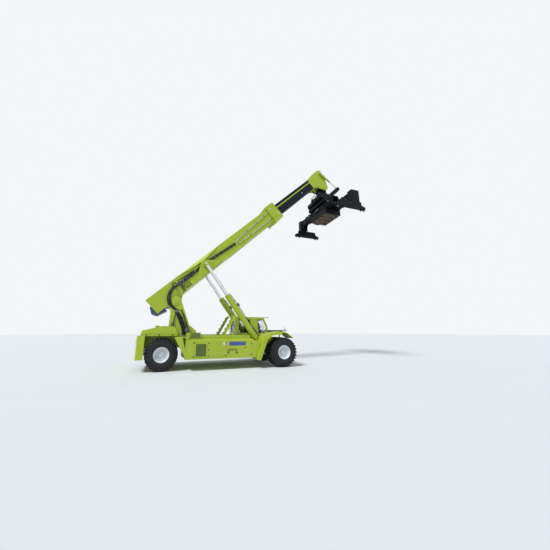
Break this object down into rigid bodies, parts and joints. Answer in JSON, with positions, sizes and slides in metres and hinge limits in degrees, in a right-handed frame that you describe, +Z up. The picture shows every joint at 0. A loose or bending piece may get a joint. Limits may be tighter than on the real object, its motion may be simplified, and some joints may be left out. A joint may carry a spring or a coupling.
{
  "type": "reach stacker",
  "caption": "Wheeled port machine with a telescopic lifting boom, two lift cylinders, a low centre cab and a slewing spreader that lengthens to lock onto the top of a container.",
  "frame": {"origin": "On the floor under the centre of the machine's box, with all wheels on the floor.", "axes": "+X forward, towards the spreader; +Y to the left of the operator; +Z up."},
  "size_m": [14.3767, 6.06, 15.1782],
  "materials": {
    "painted_steel_lime": "semi_gloss",
    "painted_steel_grey": "satin",
    "painted_steel_black": "satin",
    "painted_steel_navy": "satin",
    "chromed_steel": "polished",
    "tyre_rubber": "matte",
    "hose_rubber": "matte",
    "forged_steel": "forged",
    "safety_glass": "clear",
    "seat_cloth": "woven",
    "dark_plastic": "matte",
    "lamp_housing": "matte"
  },
  "bodies": {
    "chassis": {"chassis_frame": "painted_steel_lime", "counterweight": "painted_steel_lime", "rear_hood": "painted_steel_lime", "boom_tower": "painted_steel_lime", "engine_block": "painted_steel_grey", "side_box_right": "painted_steel_lime", "side_box_left": "painted_steel_lime", "walkway_deck": "painted_steel_lime", "front_fenders": "painted_steel_lime", "front_platform": "painted_steel_navy", "drive_axle": "painted_steel_grey", "steer_axle": "painted_steel_grey", "cab_shell": "painted_steel_lime", "cab_roof": "painted_steel_lime", "cab_glass": "safety_glass", "operator_seat": "seat_cloth", "cab_controls": "dark_plastic", "access_ladders": "painted_steel_lime", "work_lamps": "lamp_housing", "tower_hoses": "hose_rubber"},
    "cab_door_leaf": {"cab_door": "painted_steel_lime"},
    "knuckle_right": {"steer_knuckle_right": "painted_steel_grey"},
    "knuckle_left": {"steer_knuckle_left": "painted_steel_grey"},
    "wheel_rear_right": {"rear_wheel_right": "tyre_rubber"},
    "wheel_rear_left": {"rear_wheel_left": "tyre_rubber"},
    "wheels_front_right": {"front_wheels_right": "tyre_rubber"},
    "wheels_front_left": {"front_wheels_left": "tyre_rubber"},
    "barrel_right": {"lift_barrel_right": "painted_steel_lime"},
    "barrel_left": {"lift_barrel_left": "painted_steel_lime"},
    "rod_right": {"lift_rod_right": "chromed_steel"},
    "rod_left": {"lift_rod_left": "chromed_steel"},
    "boom": {"boom_outer": "painted_steel_lime", "boom_hoses": "hose_rubber", "pivot_hoses": "hose_rubber"},
    "boom_extension": {"boom_inner": "painted_steel_navy", "boom_head": "painted_steel_lime"},
    "damper_tubes": {"damper_barrels": "painted_steel_lime"},
    "damper_pistons": {"damper_rods": "chromed_steel"},
    "hanger": {"spreader_hanger": "painted_steel_black"},
    "slewing_unit": {"rotator": "painted_steel_black"},
    "spreader": {"spreader_frame": "painted_steel_black"},
    "arm_right": {"spreader_arm_right": "painted_steel_black"},
    "arm_left": {"spreader_arm_left": "painted_steel_black"},
    "lock_right_rear": {"twistlock_right_rear": "forged_steel"},
    "lock_right_front": {"twistlock_right_front": "forged_steel"},
    "lock_left_rear": {"twistlock_left_rear": "forged_steel"},
    "lock_left_front": {"twistlock_left_front": "forged_steel"}
  },
  "joints": [
    {"name": "steering", "type": "hinge", "parent": "chassis", "child": "knuckle_right", "pos_m": [-5.80833, -0.9, 0.82], "axis": [0, 0, 1], "range_deg": [-50, 50]},
    {"name": "steering_left", "type": "hinge", "parent": "chassis", "child": "knuckle_left", "pos_m": [-5.80833, 0.9, 0.82], "axis": [0, 0, 1], "range_deg": [-50.05, 50.05]},
    {"name": "rear_wheel_right_spin", "type": "hinge", "parent": "knuckle_right", "child": "wheel_rear_right", "pos_m": [-5.80833, -1.25, 0.82], "axis": [0, 1, 0], "continuous": true},
    {"name": "rear_wheel_left_spin", "type": "hinge", "parent": "knuckle_left", "child": "wheel_rear_left", "pos_m": [-5.80833, 1.25, 0.82], "axis": [0, 1, 0], "continuous": true},
    {"name": "front_wheels_right_spin", "type": "hinge", "parent": "chassis", "child": "wheels_front_right", "pos_m": [0.85167, -1.843, 0.82], "axis": [0, 1, 0], "continuous": true},
    {"name": "front_wheels_left_spin", "type": "hinge", "parent": "chassis", "child": "wheels_front_left", "pos_m": [0.85167, 1.843, 0.82], "axis": [0, 1, 0], "continuous": true},
    {"name": "cab_door_swing", "type": "hinge", "parent": "chassis", "child": "cab_door_leaf", "pos_m": [-1.75033, -0.444, 1.9], "axis": [0, 0, 1], "range_deg": [0, 95]},
    {"name": "boom_lift", "type": "hinge", "parent": "chassis", "child": "boom", "pos_m": [-5.27833, 0, 3.63], "axis": [0, -1, 0], "range_deg": [-43.3, 16.7], "deforming": ["pivot_hoses"]},
    {"name": "boom_extend", "type": "slide", "parent": "boom", "child": "boom_extension", "axis": [0.7278, 0, 0.6858], "range_m": [-4.2, 2.4]},
    {"name": "lift_barrel_right_tilt", "type": "hinge", "parent": "chassis", "child": "barrel_right", "pos_m": [-0.38833, -0.93, 1.42], "axis": [0, -1, 0], "range_deg": [-2.21, 0.89]},
    {"name": "lift_barrel_left_tilt", "type": "hinge", "parent": "chassis", "child": "barrel_left", "pos_m": [-0.38833, 0.93, 1.42], "axis": [0, -1, 0], "range_deg": [-2.21, 0.89]},
    {"name": "lift_rod_right_slide", "type": "slide", "parent": "barrel_right", "child": "rod_right", "axis": [-0.5854, 0, 0.8107], "range_m": [-2.1029, 0.8123]},
    {"name": "lift_rod_left_slide", "type": "slide", "parent": "barrel_left", "child": "rod_left", "axis": [-0.5854, 0, 0.8107], "range_m": [-2.1029, 0.8123]},
    {"name": "spreader_tilt", "type": "hinge", "parent": "boom_extension", "child": "hanger", "pos_m": [5.77333, 0, 13.70104], "axis": [0, -1, 0], "range_deg": [-16.75, 43.35]},
    {"name": "damper_tilt", "type": "hinge", "parent": "boom_extension", "child": "damper_tubes", "pos_m": [5.31213, 0, 14.8466], "axis": [0, -1, 0], "range_deg": [-7.97, 20.57]},
    {"name": "damper_slide", "type": "slide", "parent": "damper_tubes", "child": "damper_pistons", "axis": [0.8232, 0, -0.5677], "range_m": [-0.5688, 0.2206]},
    {"name": "spreader_slew", "type": "hinge", "parent": "hanger", "child": "slewing_unit", "pos_m": [5.77333, 0, 12.70104], "axis": [0, 0, 1], "range_deg": [-50, 20]},
    {"name": "spreader_shift", "type": "slide", "parent": "slewing_unit", "child": "spreader", "axis": [0, -1, 0], "range_m": [-0.8, 0.8]},
    {"name": "arm_right_extend", "type": "slide", "parent": "spreader", "child": "arm_right", "axis": [0, -1, 0], "range_m": [0, 3.06]},
    {"name": "arm_left_extend", "type": "slide", "parent": "spreader", "child": "arm_left", "axis": [0, 1, 0], "range_m": [0, 3.065]},
    {"name": "twistlock_right_rear_turn", "type": "hinge", "parent": "arm_right", "child": "lock_right_rear", "pos_m": [4.84333, -2.926, 10.50104], "axis": [0, 0, 1], "range_deg": [0, 90]},
    {"name": "twistlock_right_front_turn", "type": "hinge", "parent": "arm_right", "child": "lock_right_front", "pos_m": [7.10333, -2.926, 10.50104], "axis": [0, 0, 1], "range_deg": [0, 90.05]},
    {"name": "twistlock_left_rear_turn", "type": "hinge", "parent": "arm_left", "child": "lock_left_rear", "pos_m": [4.84333, 2.926, 10.50104], "axis": [0, 0, 1], "range_deg": [0, 90.05]},
    {"name": "twistlock_left_front_turn", "type": "hinge", "parent": "arm_left", "child": "lock_left_front", "pos_m": [7.10333, 2.926, 10.50104], "axis": [0, 0, 1], "range_deg": [0, 90.05]}
  ],
  "couplings": [
    {"joint": "steering_left", "follows": "steering", "ratio": 1},
    {"joint": "lift_barrel_right_tilt", "follows": "boom_lift", "ratio": 0.05},
    {"joint": "lift_barrel_left_tilt", "follows": "boom_lift", "ratio": 0.05},
    {"joint": "lift_rod_right_slide", "follows": "boom_lift", "m_per_rad": 2.78},
    {"joint": "lift_rod_left_slide", "follows": "boom_lift", "m_per_rad": 2.78},
    {"joint": "spreader_tilt", "follows": "boom_lift", "ratio": -1},
    {"joint": "damper_tilt", "follows": "boom_lift", "ratio": -0.474},
    {"joint": "damper_slide", "follows": "boom_lift", "m_per_rad": 0.75},
    {"joint": "arm_left_extend", "follows": "arm_right_extend", "ratio": 1},
    {"joint": "twistlock_right_front_turn", "follows": "twistlock_right_rear_turn", "ratio": 1},
    {"joint": "twistlock_left_rear_turn", "follows": "twistlock_right_rear_turn", "ratio": 1},
    {"joint": "twistlock_left_front_turn", "follows": "twistlock_right_rear_turn", "ratio": 1}
  ]
}
